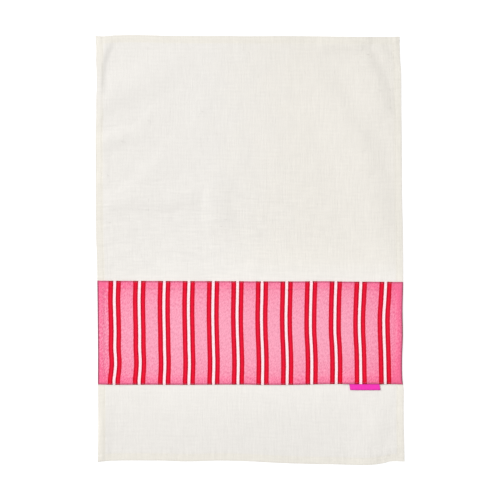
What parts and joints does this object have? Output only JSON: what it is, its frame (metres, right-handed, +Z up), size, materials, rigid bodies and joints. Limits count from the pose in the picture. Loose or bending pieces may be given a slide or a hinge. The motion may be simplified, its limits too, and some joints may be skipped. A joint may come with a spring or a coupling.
{
  "type": "tea towel",
  "caption": "Ecru cotton tea towel with turned hems, a pink, red and white striped band sewn across it and a folded ribbon label, laid out flat.",
  "frame": {"origin": "on the surface that the towel lies on, under the middle of the towel", "axes": "+Z up out of the towel's face, +Y along its length towards its plain end, +X across it to the right, on the label's side"},
  "size_m": [0.5054, 0.7031, 0.0047],
  "materials": {
    "ecru_cotton": "matte slubby plain weave",
    "striped_cotton": "matte printed cotton, red and white stripes on pink",
    "magenta_ribbon": "satin ribbon, bare"
  },
  "bodies": {
    "root": {"towel": "ecru_cotton", "band": "striped_cotton", "label": "magenta_ribbon"}
  },
  "joints": []
}
